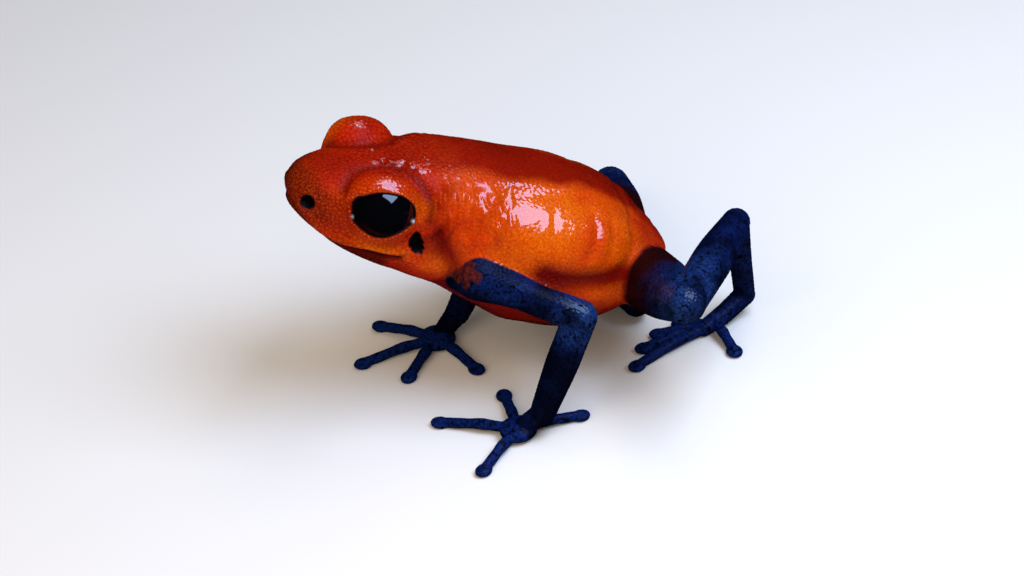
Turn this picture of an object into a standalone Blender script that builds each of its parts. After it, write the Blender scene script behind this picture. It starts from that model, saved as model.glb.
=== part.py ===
"""Strawberry poison dart frog at life size, standing high on its hands and feet.

Sizes are millimetres until the last step, which scales every node to metres. The frog looks along -Y,
its left side is +X and +Z is up. Body places are given as (forward of the vent, left, up along the back).
"""

import math

import bmesh
import bpy
import numpy as np
from mathutils import Matrix, Vector

MM = 0.001
GAP = 0.3                 # clear space between one node and the next
FLAT = 0.06               # how much of each sole is pressed flat by the floor

SNOUT_TO_VENT = 22.0
VENT_HEIGHT = 4.05        # above the floor
BODY_PITCH = 26.0         # degrees, head up
RUMP = 0.8                # the torso's end, forward of the vent's own level
NECK = 14.2               # where the head meets the torso, forward of the vent
HEAD_ROLL = -4.0          # degrees, the left eye down

# forward, half width, widest level, crown, belly, crown power, belly power
SECTIONS = (
    (22.0, 0.00, -0.10, -0.10, -0.10, 2.1, 2.0),
    (21.2, 1.50, -0.30, 0.90, -1.30, 2.3, 2.0),
    (20.2, 2.15, -0.50, 1.40, -1.95, 2.5, 2.0),
    (18.8, 2.80, -0.75, 1.85, -2.60, 2.6, 2.0),
    (17.2, 3.20, -1.00, 2.30, -3.05, 2.6, 2.1),
    (15.2, 3.50, -1.05, 3.00, -3.35, 2.5, 2.1),
    (13.2, 3.80, -1.00, 3.25, -3.75, 2.4, 2.1),
    (11.0, 4.30, -0.95, 3.20, -4.40, 2.4, 2.1),
    (8.5, 4.70, -0.85, 3.27, -4.95, 2.4, 2.1),
    (6.3, 4.55, -0.75, 3.10, -4.85, 2.3, 2.1),
    (4.2, 3.85, -0.60, 2.50, -3.95, 2.2, 2.1),
    (2.6, 2.85, -0.45, 1.55, -2.75, 2.1, 2.0),
    (1.5, 1.80, -0.35, 0.85, -1.75, 2.0, 2.0),
    (0.8, 0.00, -0.20, -0.20, -0.20, 2.0, 2.0),
)
TRUNK_RINGS = 38
TRUNK_SIDES = 32

EYE = (17.70, 2.42, 0.64)
EYE_RADIUS = 1.62
EYE_GAP = 0.1
LID_WALL = 0.12
BROW = (17.95, 2.45, 0.80)           # the middle of the swelling over each eye
BROW_RADIUS = 1.76
LID_OPENING = (1.60, 1.10, 1.10)     # half length, height above and below the middle
GAZE = (0.28, 0.93, 0.22)            # the way the left eye looks, as forward, left, up

# The mouth's line as forward, up: from its corner to where it crosses the snout
MOUTH_LINE = ((15.7, -1.42), (17.6, -1.62), (18.7, -1.86), (19.4, -1.84), (20.2, -1.62), (20.9, -1.32),
              (21.45, -1.08))
MOUTH_FRONT = (21.68, -0.98)
MOUTH_WIDTH = 0.26
LIP_RADIUS = 0.36
LIP_LIFT = 0.40
LIP_SINK = 0.26
NOSTRIL = (20.98, -0.42)
NOSTRIL_RADIUS = 0.20
EARDRUM = (15.74, -0.44)
EARDRUM_RADIUS = 0.50
EARDRUM_DEPTH = 0.14

# Joints of the limbs in part space: x, y, z and the radius there.
SHOULDER = (12.0, 3.7, -1.65)
HIP = (2.6, 1.7, -0.8)
ARMS = {
    "left": {
        "elbow": (6.25, -7.2, 5.85),
        "wrist": (7.2, -9.8, 1.3),
        "palm": (6.75, -10.95, 0.42),
        "heading": 35.0,
        "splay": (-142.0, -60.0, 0.0, 77.0),
    },
    "right": {
        "elbow": (-5.7, -7.4, 4.7),
        "wrist": (-2.9, -11.1, 1.3),
        "palm": (-2.4, -12.4, 0.42),
        "heading": 5.0,
        "splay": (-105.0, -42.0, 0.0, 52.0),
    },
}
LEGS = {
    "left": {
        "knee": (9.5, -2.8, 7.5),
        "heel": (2.05, 2.5, 6.3),
        "ankle": (1.15, 3.1, 1.15),
        "toe": (3.6, -3.5, 0.3),
        "splay": (-60.0, -38.0, -17.0, 0.0, 74.0),
    },
    "right": {
        "knee": (-9.4, -0.5, 2.5),
        "heel": (-0.6, -2.2, 0.95),
        "ankle": (-5.6, -3.6, 0.68),
        "toe": (-9.4, -9.5, 0.3),
        "splay": (-48.0, -30.0, -14.0, 0.0, 34.0),
    },
}
SHOULDER_RADIUS, ARM_RADIUS, ELBOW_RADIUS = 1.25, 0.82, 0.84
FOREARM_RADIUS, WRIST_RADIUS = 0.84, 0.64
THIGH_RADII = (1.7, 1.55, 1.0)       # hip, middle, knee
SHANK_RADII = (0.95, 1.02, 0.72)     # knee, calf, heel
TARSUS_RADII = (0.68, 0.58, 0.54)    # heel, middle, ankle
FINGER_LENGTHS = (2.6, 2.6, 3.4, 2.7)
TOE_LENGTHS = (1.5, 2.3, 3.3, 4.4, 2.5)
TOE_ROOTS = (0.9, 1.0, 1.0, 1.0, 0.75)  # share of the foot's joined length where each toe leaves it
DIGIT_RADIUS = 0.27
DISC = (0.5, 0.42, 0.24)             # half length, half width, half height
PALM = (0.95, 0.98, 0.48)
FOOT_SHARE = 0.4                     # of the foot's length that the joined toes take

COLOURS = {
    "head": (0.50, 0.045, 0.010),
    "torso": (0.62, 0.085, 0.012),
    "limb": (0.012, 0.022, 0.11),
    "eye": (0.004, 0.004, 0.005),
}

scene = bpy.context.scene
for old in list(bpy.data.objects):
    bpy.data.objects.remove(old, do_unlink=True)
frog = bpy.data.collections.new("strawberry_poison_dart_frog")
bench = bpy.data.collections.new("bench")
scene.collection.children.link(frog)
scene.collection.children.link(bench)


def smooth_through(knots, values, at):
    """Cubic through the values that never overshoots them."""
    step = np.diff(knots)
    rise = np.diff(values) / step
    slope = np.concatenate([rise[:1], np.zeros(len(rise) - 1), rise[-1:]])
    for i in range(1, len(rise)):
        if rise[i - 1] * rise[i] > 0:
            near, far = step[i] * 2 + step[i - 1], step[i] + step[i - 1] * 2
            slope[i] = (near + far) / (near / rise[i - 1] + far / rise[i])
    i = np.clip(np.searchsorted(knots, at, side="right") - 1, 0, len(step) - 1)
    t = (at - knots[i]) / step[i]
    return (values[i] * (1 + 2 * t) * (1 - t) ** 2 + values[i + 1] * t * t * (3 - 2 * t)
            + step[i] * t * (1 - t) * (slope[i] * (1 - t) - slope[i + 1] * t))


def section_at(forward):
    """Half width, widest level, rise to the crown, drop to the belly and the two powers."""
    table = np.array(SECTIONS)[::-1]
    knots, width, side, crown, belly, crown_power, belly_power = table.T

    def round_ended(values):
        return np.sqrt(np.maximum(smooth_through(knots, values ** 2, forward), 0.0))

    return (round_ended(width), smooth_through(knots, side, forward), round_ended(crown - side),
            round_ended(side - belly), smooth_through(knots, crown_power, forward),
            smooth_through(knots, belly_power, forward))


def part_axes():
    """The body's forward, left and up in part space."""
    pitch = math.radians(BODY_PITCH)
    return (Vector((0, -math.cos(pitch), math.sin(pitch))), Vector((1, 0, 0)),
            Vector((0, math.sin(pitch), math.cos(pitch))))


def in_part(place):
    """A body place in part space, with the head rolled a little about the neck."""
    ahead, left, up = place
    share = min(max((ahead - NECK + 3.0) / 5.0, 0.0), 1.0)
    roll = math.radians(HEAD_ROLL) * share * share * (3 - 2 * share)
    across = left * math.cos(roll) - up * math.sin(roll)
    height = left * math.sin(roll) + up * math.cos(roll)
    forward, side, over = part_axes()
    return Vector((0, 0, VENT_HEIGHT)) + forward * ahead + side * across + over * height


def turned(way, place):
    """A body direction in part space, as it stands at a body place."""
    return (in_part([a + b for a, b in zip(place, way)]) - in_part(place)).normalized()


def side_surface(forward, up, side=1):
    """The point of the trunk's flank at this station and level."""
    width, level, rise, drop, crown_power, belly_power = section_at(forward)
    reach, power = (rise, crown_power) if up >= level else (drop, belly_power)
    share = min(abs(up - level) / reach, 1.0)
    return (forward, side * float(width * (1 - share ** power) ** (1 / power)), up)


def mirrored(place, side):
    return place if side == "left" else (place[0], -place[1], place[2])


def add_mesh(name, bm):
    mesh = bpy.data.meshes.new(name)
    bmesh.ops.recalc_face_normals(bm, faces=bm.faces)
    bm.to_mesh(mesh)
    bm.free()
    obj = bpy.data.objects.new(name, mesh)
    bench.objects.link(obj)
    return obj


def baked(obj, name):
    """The object as its modifiers leave it, or a curve's tube, as a plain mesh; the original goes."""
    bpy.context.view_layer.update()
    graph = bpy.context.evaluated_depsgraph_get()
    mesh = bpy.data.meshes.new_from_object(obj.evaluated_get(graph))
    mesh.transform(obj.matrix_world)
    bpy.data.objects.remove(obj, do_unlink=True)
    made = bpy.data.objects.new(name, mesh)
    bench.objects.link(made)
    return made


def trunk(name, swell=0.0):
    """The head and torso in one, lofted through the sections; swell grows it all round."""
    bm = bmesh.new()
    spread = (np.arange(TRUNK_RINGS) + 0.5) / TRUNK_RINGS
    middle, half = (SNOUT_TO_VENT + RUMP) / 2, (SNOUT_TO_VENT - RUMP) / 2
    stations = middle + half * np.cos(math.pi * spread)
    turn = np.linspace(0, 2 * math.pi, TRUNK_SIDES, endpoint=False)
    rings = []
    for forward in stations:
        width, level, rise, drop, crown_power, belly_power = section_at(forward)
        ring = []
        for a in turn:
            c, s = math.cos(a), math.sin(a)
            power, reach = (crown_power, rise) if s >= 0 else (belly_power, drop)
            across = (width + swell) * math.copysign(abs(c) ** (2 / power), c)
            up = level + (reach + swell) * math.copysign(abs(s) ** (2 / power), s)
            ring.append(bm.verts.new(in_part((forward, across, up))))
        rings.append(ring)
    for first, second in zip(rings, rings[1:]):
        for k in range(TRUNK_SIDES):
            j = (k + 1) % TRUNK_SIDES
            bm.faces.new((first[k], first[j], second[j], second[k]))
    tips = ((rings[0], SNOUT_TO_VENT + swell, SECTIONS[0][2]), (rings[-1], RUMP - swell, SECTIONS[-1][2]))
    for ring, forward, up in tips:
        tip = bm.verts.new(in_part((forward, 0, up)))
        for k in range(TRUNK_SIDES):
            bm.faces.new((ring[k], ring[(k + 1) % TRUNK_SIDES], tip))
    return add_mesh(name, bm)


def ellipsoid(name, centre, radii, axes=None, sides=20, rings=12):
    """A ball stretched to three radii along three axes, which are part space's own if none are given."""
    bm = bmesh.new()
    bmesh.ops.create_uvsphere(bm, u_segments=sides, v_segments=rings, radius=1.0)
    turn = Matrix.Identity(3) if axes is None else Matrix(axes).transposed()
    shape = turn.to_4x4() @ Matrix.Diagonal((*radii, 1.0))
    bmesh.ops.transform(bm, matrix=Matrix.Translation(centre) @ shape, verts=bm.verts)
    return add_mesh(name, bm)


def beyond(joint, side=1.0):
    """A block that holds everything past a joint's plane; a side of -1 holds everything before it."""
    bm = bmesh.new()
    bmesh.ops.create_cube(bm, size=1.0)
    bmesh.ops.translate(bm, vec=(0, 0, 0.5), verts=bm.verts)
    normal = joint["normal"] * side
    turn = normal.to_track_quat("Z", "Y").to_matrix().to_4x4()
    reach = joint["reach"] * 2
    shape = Matrix.Translation(joint["place"] - normal * GAP / 2) @ turn @ Matrix.Scale(reach, 4)
    bmesh.ops.transform(bm, matrix=shape, verts=bm.verts)
    return add_mesh("beyond", bm)


def prism(name, outline, centre, axes, depth):
    """An outline pushed along the third axis from the centre."""
    bm = bmesh.new()
    across, up, out = (Vector(axis) for axis in axes)
    foot = [bm.verts.new(Vector(centre) + across * u + up * v) for u, v in outline]
    bm.faces.new(foot)
    pushed = bmesh.ops.extrude_face_region(bm, geom=list(bm.faces))
    moved = [v for v in pushed["geom"] if isinstance(v, bmesh.types.BMVert)]
    bmesh.ops.translate(bm, vec=out * depth, verts=moved)
    return add_mesh(name, bm)


def tube(name, path, radii, sides=12, steps=3, rounding=(30, 57, 80)):
    """A round limb through the path's points, rounded off past each end at these angles."""
    knots = np.arange(len(path), dtype=float)
    at = np.linspace(0, len(path) - 1, steps * (len(path) - 1) + 1)
    places = np.array([smooth_through(knots, np.array(axis, float), at) for axis in zip(*path)]).T
    sizes = smooth_through(knots, np.array(radii, float), at)
    points = [(Vector(p), float(r)) for p, r in zip(places, sizes)]
    for end, inner in ((0, 1), (-1, -2)):
        place, radius = points[end]
        out = (place - points[inner][0]).normalized()
        caps = [(place + out * radius * math.sin(math.radians(a)), radius * math.cos(math.radians(a)))
                for a in rounding]
        points = caps[::-1] + points if end == 0 else points + caps
    curve = bpy.data.curves.new(name, "CURVE")
    curve.dimensions = "3D"
    curve.bevel_depth = 1.0
    curve.bevel_resolution = (sides - 4) // 2
    curve.use_fill_caps = True
    line = curve.splines.new("POLY")
    line.points.add(len(points) - 1)
    for point, (place, radius) in zip(line.points, points):
        point.co = (*place, 1.0)
        point.radius = radius
    obj = bpy.data.objects.new(name, curve)
    bench.objects.link(obj)
    made = baked(obj, name)
    bm = bmesh.new()
    bm.from_mesh(made.data)
    bmesh.ops.remove_doubles(bm, verts=bm.verts, dist=0.0001)
    bmesh.ops.recalc_face_normals(bm, faces=bm.faces)
    bm.to_mesh(made.data)
    bm.free()
    return made


def boolean(obj, others, operation):
    """Joins the others to the object, or cuts them from it, in one go."""
    group = bpy.data.collections.new("operands")
    scene.collection.children.link(group)
    for other in others:
        group.objects.link(other)
    modifier = obj.modifiers.new(operation.lower(), "BOOLEAN")
    modifier.operation = operation
    modifier.solver = "EXACT"
    modifier.operand_type = "COLLECTION"
    modifier.collection = group
    made = baked(obj, obj.name)
    for other in others:
        bpy.data.objects.remove(other, do_unlink=True)
    bpy.data.collections.remove(group)
    return made


def largest_surface(obj):
    """Leaves the object only its largest closed surface, with its faces in triangles."""
    bm = bmesh.new()
    bm.from_mesh(obj.data)
    bmesh.ops.remove_doubles(bm, verts=bm.verts, dist=0.0001)
    bmesh.ops.dissolve_degenerate(bm, edges=bm.edges, dist=0.0001)
    bmesh.ops.triangulate(bm, faces=bm.faces)
    surfaces, seen = [], set()
    for start in bm.verts:
        if start in seen:
            continue
        group, edge = {start}, [start]
        while edge:
            for link in edge.pop().link_edges:
                for vert in link.verts:
                    if vert not in group:
                        group.add(vert)
                        edge.append(vert)
        seen |= group
        surfaces.append(group)
    largest = max(surfaces, key=lambda group: spread_of(group))
    bmesh.ops.delete(bm, geom=[vert for vert in bm.verts if vert not in largest], context="VERTS")
    bmesh.ops.recalc_face_normals(bm, faces=bm.faces)
    bm.to_mesh(obj.data)
    bm.free()


def spread_of(verts):
    low, high = ([pick(vert.co[k] for vert in verts) for k in range(3)] for pick in (min, max))
    return (Vector(high) - Vector(low)).length


def keep(obj, name, kind):
    """The finished object becomes a node of the frog."""
    largest_surface(obj)
    obj.name = name
    bench.objects.unlink(obj)
    frog.objects.link(obj)
    material = bpy.data.materials.new(name)
    material.use_nodes = True
    shader = material.node_tree.nodes["Principled BSDF"]
    shader.inputs["Base Color"].default_value = (*COLOURS[kind], 1.0)
    shader.inputs["Roughness"].default_value = 0.08 if kind == "eye" else 0.35
    obj.data.materials.append(material)
    obj.data.shade_smooth()
    obj.data.set_sharp_from_angle(angle=math.radians(40))


def above_floor(obj):
    """Presses the soles flat at floor level."""
    bm = bmesh.new()
    bmesh.ops.create_cube(bm, size=1.0)
    shape = Matrix.Translation((0, 0, -5)) @ Matrix.Diagonal((60, 60, 10, 1.0))
    bmesh.ops.transform(bm, matrix=shape, verts=bm.verts)
    return boolean(obj, [add_mesh("floor", bm)], "DIFFERENCE")


def eye_frame(side):
    """The eye's middle and its across, up and outward axes in part space."""
    middle = mirrored(EYE, side)
    out = turned(mirrored(GAZE, side), middle)
    up = turned((0.0, 0.0, 1.0), middle)
    up = (up - out * up.dot(out)).normalized()
    return in_part(middle), up.cross(out), up, out


def lid_outline():
    """An almond, pointed at both corners."""
    length, above, below = LID_OPENING
    ends = np.linspace(-1, 1, 11)
    upper = [(length * t, above * (1 - abs(t) ** 2.2) ** 0.9) for t in ends]
    lower = [(length * t, -below * (1 - abs(t) ** 2.2) ** 0.9) for t in ends[-2:0:-1]]
    return upper + lower


def mouth_line(lift, sink):
    """Points along the mouth from corner to corner, lifted along the face and sunk into it."""
    half = []
    for number, (forward, up) in enumerate(MOUTH_LINE):
        forward, across, up = side_surface(forward, up + lift)
        share = number / len(MOUTH_LINE)
        half.append((forward - sink * share ** 3, across * (1 - sink / 3.5), up))
    front = (MOUTH_FRONT[0] + lift * 0.2 - sink, 0.0, MOUTH_FRONT[1] + lift)
    return half + [front] + [(forward, -across, up) for forward, across, up in half[::-1]]


def mouth_tube(name, radius, lift, sink):
    path = [in_part(place) for place in mouth_line(lift, sink)]
    return tube(name, path, [radius] * len(path), sides=8, steps=2)


def make_head_and_torso():
    lids, cutters = [], []
    for side in ("left", "right"):
        centre, across, up, out = eye_frame(side)
        lids.append(ellipsoid("brow", in_part(mirrored(BROW, side)), (BROW_RADIUS,) * 3, None, 20, 14))
        lids.append(ellipsoid("lid", centre, (EYE_RADIUS + EYE_GAP + LID_WALL,) * 3, (across, up, out), 20, 14))
        keep(ellipsoid("eye", centre, (EYE_RADIUS,) * 3, (across, up, out), 20, 14), "eye_" + side, "eye")
        cutters.append(ellipsoid("socket", centre, (EYE_RADIUS + EYE_GAP,) * 3, (across, up, out), 20, 14))
        cutters.append(prism("opening", lid_outline(), centre, (across, up, out), EYE_RADIUS * 1.6))
        sign = 1 if side == "left" else -1
        for (forward, level), radius, depth in (
                (NOSTRIL, NOSTRIL_RADIUS, 0.35), (EARDRUM, EARDRUM_RADIUS, EARDRUM_DEPTH)):
            spot = in_part(side_surface(forward, level, sign))
            outward = (spot - in_part((forward - 0.4, 0, level))).normalized()
            ahead = turned((1, 0, 0), (forward, 0, 0)).cross(outward).normalized()
            cutters.append(ellipsoid("pit", spot, (radius, radius, depth),
                                     (outward.cross(ahead), ahead, outward), 12, 8))
    whole = boolean(trunk("trunk"), lids + [mouth_tube("lip", LIP_RADIUS, LIP_LIFT, LIP_SINK)], "UNION")
    cutters.append(mouth_tube("mouth", MOUTH_WIDTH / 2, 0.0, 0.02))
    neck = {"place": in_part((NECK, 0, 0)), "normal": part_axes()[0], "reach": 16.0}
    keep(boolean(whole, cutters + [beyond(neck, -1)], "DIFFERENCE"), "head", "head")
    keep(boolean(trunk("torso"), [beyond(neck)], "DIFFERENCE"), "torso", "torso")


def half_way(start, end, share=0.5):
    return Vector(start).lerp(Vector(end), share)


def bisector(before, place, after, reach=9.0):
    """The plane through a joint that splits the angle between its two lengths."""
    first = (Vector(place) - Vector(before)).normalized()
    second = (Vector(after) - Vector(place)).normalized()
    return {"place": Vector(place), "normal": (first + second).normalized(), "reach": reach}


def digit(root, angle, length, thickness=1.0):
    """One finger or toe: a knuckled tube that ends in a flat disc. Angle 0 points along -Y, + is to +X."""
    way = Vector((math.sin(angle), -math.cos(angle), 0))
    radius = DIGIT_RADIUS * thickness
    level = radius - FLAT
    start = Vector((root[0], root[1], max(level, root[2])))
    tip = Vector((root[0], root[1], level)) + way * length
    knuckle = start.lerp(tip, 0.45) + Vector((0, 0, 0.12))
    radii = (radius * 1.15, radius, radius * 0.92)
    finger = tube("digit", (start, knuckle, tip), radii, sides=8, steps=2, rounding=(40,))
    across = Vector((0, 0, 1)).cross(way)
    pad = ellipsoid("disc", (tip.x, tip.y, DISC[2] - FLAT), DISC, (way, across, (0, 0, 1)), 10, 6)
    return [finger, pad]


def make_arm(side):
    arm = ARMS[side]
    sign = 1 if side == "left" else -1
    shoulder, elbow, wrist, palm = in_part(mirrored(SHOULDER, side)), arm["elbow"], arm["wrist"], arm["palm"]
    bend, turn_of_hand = bisector(shoulder, elbow, wrist), bisector(elbow, wrist, palm)
    upper = tube("upper_arm", (shoulder, half_way(shoulder, elbow), elbow),
                 (SHOULDER_RADIUS, ARM_RADIUS, ELBOW_RADIUS))
    keep(boolean(upper, [trunk("trunk_room", GAP), beyond(bend)], "DIFFERENCE"), "upper_arm_" + side, "limb")
    fore = tube("forearm", (elbow, half_way(elbow, wrist, 0.4), wrist),
                (ELBOW_RADIUS, FOREARM_RADIUS, WRIST_RADIUS))
    keep(boolean(fore, [beyond(bend, -1), beyond(turn_of_hand)], "DIFFERENCE"), "forearm_" + side, "limb")
    heading = -sign * math.radians(arm["heading"])
    way = Vector((math.sin(heading), -math.cos(heading), 0))
    across = Vector((0, 0, 1)).cross(way)
    hand = ellipsoid("hand", palm, PALM, (way, across, (0, 0, 1)), 16, 10)
    pieces = [tube("heel_of_hand", (wrist, palm), (WRIST_RADIUS * 0.95, 0.42))]
    for turn, length in zip(arm["splay"], FINGER_LENGTHS):
        pieces += digit(palm, heading + sign * math.radians(turn), length + 0.7)
    hand = above_floor(boolean(hand, pieces, "UNION"))
    keep(boolean(hand, [beyond(turn_of_hand, -1)], "DIFFERENCE"), "hand_" + side, "limb")


def make_leg(side):
    leg = LEGS[side]
    sign = 1 if side == "left" else -1
    hip, knee, heel = in_part(mirrored(HIP, side)), leg["knee"], leg["heel"]
    ankle, toe = Vector(leg["ankle"]), Vector(leg["toe"])
    fork = half_way(ankle, toe, FOOT_SHARE)
    fork.z = 0.36
    bends = (bisector(hip, knee, heel), bisector(knee, heel, ankle), bisector(heel, ankle, fork))
    thigh = tube("thigh", (hip, half_way(hip, knee), knee), THIGH_RADII)
    keep(boolean(thigh, [trunk("trunk_room", GAP), beyond(bends[0])], "DIFFERENCE"), "thigh_" + side, "limb")
    shank = tube("shank", (knee, half_way(knee, heel), heel), SHANK_RADII)
    keep(boolean(shank, [beyond(bends[0], -1), beyond(bends[1])], "DIFFERENCE"), "shank_" + side, "limb")
    tarsus = tube("tarsus", (heel, half_way(heel, ankle), ankle), TARSUS_RADII)
    keep(boolean(tarsus, [beyond(bends[1], -1), beyond(bends[2])], "DIFFERENCE"), "tarsus_" + side, "limb")
    instep = half_way(ankle, fork, 0.55) - Vector((0, 0, 0.12))
    foot = tube("foot", (ankle, instep, fork), (0.55, 0.5, 0.42))
    along = toe - fork
    heading = math.atan2(along.x, -along.y)
    pieces = []
    for turn, length, root in zip(leg["splay"], TOE_LENGTHS, TOE_ROOTS):
        pieces += digit(half_way(ankle, fork, root), heading + sign * math.radians(turn), length)
    foot = above_floor(boolean(foot, pieces, "UNION"))
    keep(boolean(foot, [beyond(bends[2], -1)], "DIFFERENCE"), "foot_" + side, "limb")


def set_in_metres():
    """Scales the nodes to metres and sets the frog's box over the origin."""
    corners = [vert.co for obj in frog.objects for vert in obj.data.vertices]
    low, high = (Vector([pick(c[k] for c in corners) for k in range(3)]) for pick in (min, max))
    shift = Vector((-(low.x + high.x) / 2, -(low.y + high.y) / 2, -low.z))
    for obj in frog.objects:
        obj.data.transform(Matrix.Scale(MM, 4) @ Matrix.Translation(shift))
    print("body origin in millimetres", [round(value, 3) for value in shift])


make_head_and_torso()
for body_side in ("left", "right"):
    make_arm(body_side)
    make_leg(body_side)
set_in_metres()
bpy.data.collections.remove(bench)
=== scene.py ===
import math

import bmesh
import bpy
import numpy as np
from mathutils import Matrix, Vector
from mathutils.kdtree import KDTree


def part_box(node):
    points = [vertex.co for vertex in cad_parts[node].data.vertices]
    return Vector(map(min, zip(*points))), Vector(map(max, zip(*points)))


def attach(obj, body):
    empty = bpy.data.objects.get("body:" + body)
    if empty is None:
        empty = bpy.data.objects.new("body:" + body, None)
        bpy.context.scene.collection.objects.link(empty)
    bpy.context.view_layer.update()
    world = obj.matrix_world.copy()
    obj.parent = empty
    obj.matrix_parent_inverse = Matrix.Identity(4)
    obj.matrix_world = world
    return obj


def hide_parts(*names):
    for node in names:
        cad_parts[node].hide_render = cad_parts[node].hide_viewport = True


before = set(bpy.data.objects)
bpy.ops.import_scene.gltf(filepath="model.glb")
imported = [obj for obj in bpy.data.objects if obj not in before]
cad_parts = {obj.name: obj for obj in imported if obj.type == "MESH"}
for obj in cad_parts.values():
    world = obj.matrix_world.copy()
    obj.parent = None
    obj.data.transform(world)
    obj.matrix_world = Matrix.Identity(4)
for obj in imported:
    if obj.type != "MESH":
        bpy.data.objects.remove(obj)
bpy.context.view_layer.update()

# Strawberry poison dart frog, red and blue form, at life size. It looks along -Y, its left side is +X.
# The skin is worked in millimetres and goes to metres at the end. Body places are (ahead of the vent,
# left, up along the back), and part places are x, y, z.

mm = 0.001

trunk = {
    "length": 21.74,         # snout to vent
    "ventHeight": 4.05,
    "pitch": 26.0,           # degrees, head up
    "rump": 0.8,             # where the rear end closes, ahead of the vent
    "neck": 14.2,
    "headRoll": -4.0,        # degrees, left eye down
    "rollStart": 3.0,        # how far behind the neck the roll begins
    "rollRun": 5.0,          # and over what length it comes in
    "rings": 120,
    "sides": 96,
    # ahead, half width, widest level, crown, belly, crown power, belly power
    "sections": (
        (21.74, 0.00, -0.42, -0.42, -0.42, 2.1, 2.0),
        (21.2, 1.42, -0.42, 0.58, -1.50, 2.3, 2.0),
        (20.2, 2.15, -0.50, 1.22, -2.08, 2.4, 2.0),
        (18.8, 2.80, -0.75, 1.82, -2.76, 2.6, 2.0),
        (17.2, 3.20, -1.00, 2.30, -3.12, 2.6, 2.1),
        (15.2, 3.50, -1.05, 3.00, -3.35, 2.5, 2.1),
        (13.2, 3.80, -1.00, 3.25, -3.75, 2.4, 2.1),
        (11.0, 4.30, -0.95, 3.20, -4.40, 2.4, 2.1),
        (8.5, 4.70, -0.85, 3.27, -4.95, 2.4, 2.1),
        (6.3, 4.55, -0.75, 3.10, -4.85, 2.3, 2.1),
        (4.2, 3.85, -0.60, 2.50, -3.95, 2.2, 2.1),
        (2.6, 2.85, -0.45, 1.55, -2.75, 2.1, 2.0),
        (1.5, 1.80, -0.35, 0.85, -1.75, 2.0, 2.0),
        (0.8, 0.00, -0.20, -0.20, -0.20, 2.0, 2.0),
    ),
}

eye = {
    "place": (17.70, 2.42, 0.64),
    "gaze": (0.28, 0.93, 0.22),
    "ball": 1.64,            # radius
    # swellings of the lid, and their radii
    "domes": ((17.92, 2.43, 0.72, 1.75), (17.70, 2.42, 0.64, 1.80)),
    "margin": 1.71,          # how far the lid's edge stands from the eye's middle
    "socket": 1.32,
    # each corner bead's brightness scales its bump and its painted glint
    "beads": ((19.34, 3.30, 0.20, 0.55), (16.35, 3.60, 0.90, 1.0)),   # at the corners, and how bright
    # the opening's outline: degrees round from the rear, and reach over the ball
    "opening": ((-178, 1.93), (-164, 1.84), (-149, 1.84), (-140, 1.76), (-133, 1.57), (-115, 1.35),
                (-93, 1.26), (-69, 1.20), (-54, 1.18), (-38, 1.24), (-17, 1.50), (-5, 1.80), (2, 2.02),
                (9, 2.08), (18, 2.02), (31, 1.90), (37, 1.77), (45, 1.61), (58, 1.43), (72, 1.30),
                (90, 1.20), (107, 1.18), (135, 1.24), (156, 1.44), (169, 1.74)),
}

mouth = {
    # ahead and up along the line, from its corner to the front
    "line": ((16.15, -1.50), (16.6, -1.57), (17.6, -1.62), (18.1, -1.73), (18.7, -1.86), (19.4, -1.84),
             (20.2, -1.62), (20.9, -1.32), (21.3, -1.12)),
    "front": (21.5, -1.0),
    "depth": 0.20,
    "width": 0.15,
    "lipRadius": 0.36,
    "lipLift": 0.40,
    "lipSink": 0.26,
    "lipTaper": 3.5,         # sinking by this much would bring both sides together
    "frontLift": 0.2,        # share of the lift that goes ahead at the front
    "upperLip": 0.09,        # heights of the lips' relief, and depth of the dip over the upper one
    "lowerLip": 0.07,
    "dip": 0.05,
}

ear = {
    "place": (15.635, 3.33, -0.58),
    "depth": 0.26,
    "thickness": 1.2,
    # the black mark's outline: degrees round from straight ahead, and reach
    "outline": ((-146, 0.56), (-116, 0.46), (-59, 0.31), (8, 0.40), (48, 0.58), (73, 0.79), (87, 0.62),
                (111, 0.43), (169, 0.36)),
}

limbs = {
    "shoulder": (12.0, 3.7, -1.65),
    "hip": (2.6, 1.7, -0.8),
    "arm": (1.25, 0.82, 0.84),         # radius at shoulder, middle, elbow
    "forearm": (0.84, 0.84, 0.64),
    "wrist": (0.608, 0.42),
    "thigh": (1.7, 1.55, 1.0),
    "shank": (0.95, 1.02, 0.72),
    "tarsus": (0.68, 0.58, 0.54),
    "foot": (0.55, 0.5, 0.42),
    "left": {
        "elbow": (6.25, -7.2, 5.85),
        "wrist": (7.2, -9.8, 1.3),
        "palm": (6.75, -10.95, 0.42),
        "heading": 35.0,
        "fingers": (-142.0, -60.0, 0.0, 77.0),
        "knee": (9.5, -2.8, 7.5),
        "heel": (2.05, 2.5, 6.3),
        "ankle": (1.15, 3.1, 1.15),
        "toe": (3.6, -3.5, 0.3),
        "toes": (-60.0, -38.0, -17.0, 0.0, 74.0),
    },
    "right": {
        "elbow": (-5.7, -7.4, 4.7),
        "wrist": (-2.9, -11.1, 1.3),
        "palm": (-2.4, -12.4, 0.42),
        "heading": 5.0,
        "fingers": (-105.0, -42.0, 0.0, 52.0),
        "knee": (-9.4, -0.5, 2.5),
        "heel": (-0.6, -2.2, 0.95),
        "ankle": (-5.6, -3.6, 0.68),
        "toe": (-9.4, -9.5, 0.3),
        "toes": (-48.0, -30.0, -14.0, 0.0, 34.0),
    },
}

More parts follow.
